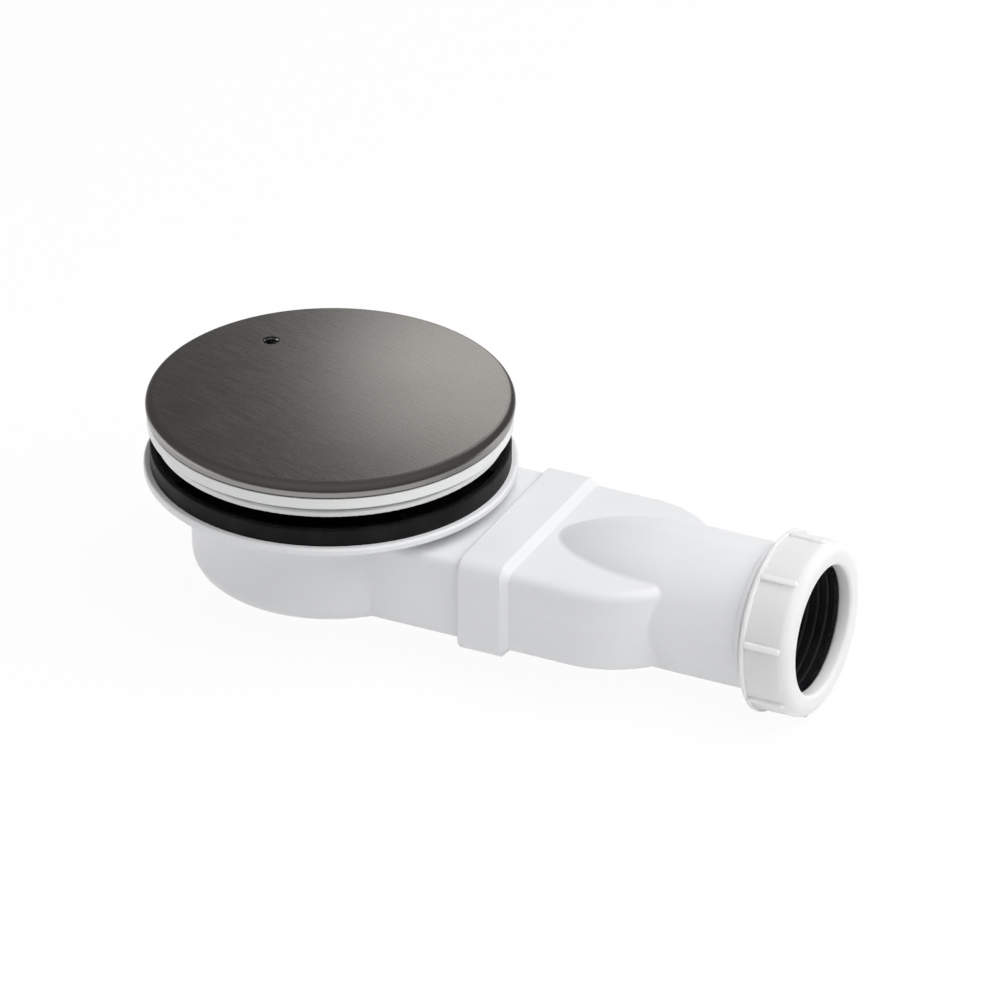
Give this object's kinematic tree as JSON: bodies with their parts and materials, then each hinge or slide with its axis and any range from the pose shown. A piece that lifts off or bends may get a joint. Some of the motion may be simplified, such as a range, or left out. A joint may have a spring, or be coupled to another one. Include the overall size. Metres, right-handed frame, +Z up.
{
  "type": "shower trap",
  "caption": "Low shower trap: round brushed metal cover over a tray flange, rubber gasket, shallow bowl with a flat duct, and a round outlet with a compression nut.",
  "frame": {"origin": "on the drain axis, on the plane of the tray flange's underside, where it meets the top of a shower tray", "axes": "+X along the outlet, away from the bowl; +Z up, out of the tray"},
  "size_m": [0.2271, 0.1166, 0.0728],
  "materials": {
    "brushed_metal": "brushed",
    "carrier_white": "satin",
    "body_white": "satin",
    "nut_white": "satin",
    "black_rubber": "matte"
  },
  "bodies": {
    "trap": {"trap_body": "body_white", "tray_gasket": "black_rubber", "collar_seal": "black_rubber", "outlet_body": "body_white", "outlet_seal": "black_rubber"},
    "seal_washer": {"flange_seal": "black_rubber"},
    "tray_flange": {"top_flange": "carrier_white", "cover_cap": "brushed_metal", "cover_carrier": "carrier_white", "dip_tube": "body_white", "dip_tube_o_ring": "black_rubber", "trap_cup": "body_white"},
    "slip_washer": {"slip_ring": "black_rubber"},
    "nut": {"outlet_nut": "nut_white"}
  },
  "joints": [
    {"name": "flange_lift", "type": "slide", "parent": "trap", "child": "seal_washer", "axis": [0, 0, 1], "range_m": [0, 0.0091]},
    {"name": "flange_turn", "type": "hinge", "parent": "seal_washer", "child": "tray_flange", "pos_m": [0, 0, 0], "axis": [0, 0, 1], "range_deg": [0, 1080]},
    {"name": "nut_travel", "type": "slide", "parent": "trap", "child": "slip_washer", "axis": [1, 0, 0], "range_m": [0, 0.0091]},
    {"name": "nut_turn", "type": "hinge", "parent": "slip_washer", "child": "nut", "pos_m": [0.16, 0, -0.0293], "axis": [1, 0, 0], "range_deg": [0, 1080]}
  ],
  "couplings": [
    {"joint": "flange_lift", "follows": "flange_turn", "m_per_rad": 0.00047746},
    {"joint": "nut_travel", "follows": "nut_turn", "m_per_rad": 0.00047746}
  ]
}
